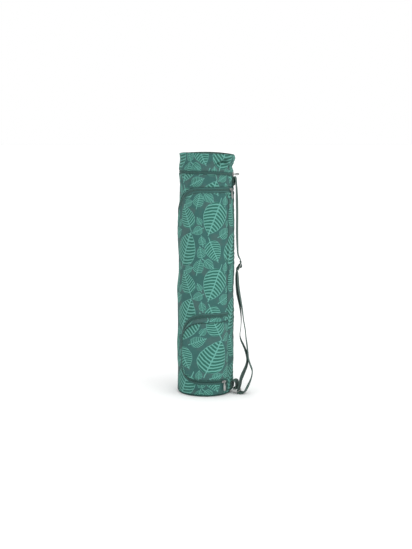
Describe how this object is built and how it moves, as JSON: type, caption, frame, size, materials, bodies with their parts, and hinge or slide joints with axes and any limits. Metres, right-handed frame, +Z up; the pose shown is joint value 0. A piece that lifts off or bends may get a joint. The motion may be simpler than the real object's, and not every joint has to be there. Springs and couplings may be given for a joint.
{
  "type": "yoga mat bag",
  "caption": "Tall round printed cloth bag for a rolled mat, with a gathered open collar, a long zip, a zipped front pocket and a webbing shoulder strap.",
  "frame": {"origin": "centre of the flat round base, on the surface the bag stands on", "axes": "+Z up along the bag, -Y towards the front with the pocket, +X towards the side with the shoulder strap"},
  "size_m": [0.2194, 0.1776, 0.6826],
  "materials": {
    "printed_cloth": "matt cotton canvas printed with light green leaves on dark teal",
    "plain_cloth": "matt dark teal cotton",
    "zip_tape": "plain woven grey teal tape",
    "webbing": "ribbed cotton webbing, grey green",
    "nickel": "bright nickel with fine scratches"
  },
  "bodies": {
    "root": {"base_panel": "plain_cloth", "base_piping": "plain_cloth", "front_panel": "printed_cloth", "side_panel": "printed_cloth", "upper_panel": "printed_cloth", "back_panel": "printed_cloth", "collar": "printed_cloth", "main_zip_tape": "zip_tape", "collar_zip_tape": "zip_tape", "pocket_zip_tape": "zip_tape", "pocket_gusset": "printed_cloth", "pocket_front": "printed_cloth", "main_zip_slider": "nickel", "main_zip_pull": "nickel", "pocket_zip_slider": "nickel", "pocket_zip_pull": "nickel", "collar_zip_slider": "nickel", "collar_zip_pull": "nickel", "shoulder_strap": "webbing", "strap_tab": "webbing", "strap_ring": "nickel", "strap_adjuster": "nickel"}
  },
  "joints": []
}
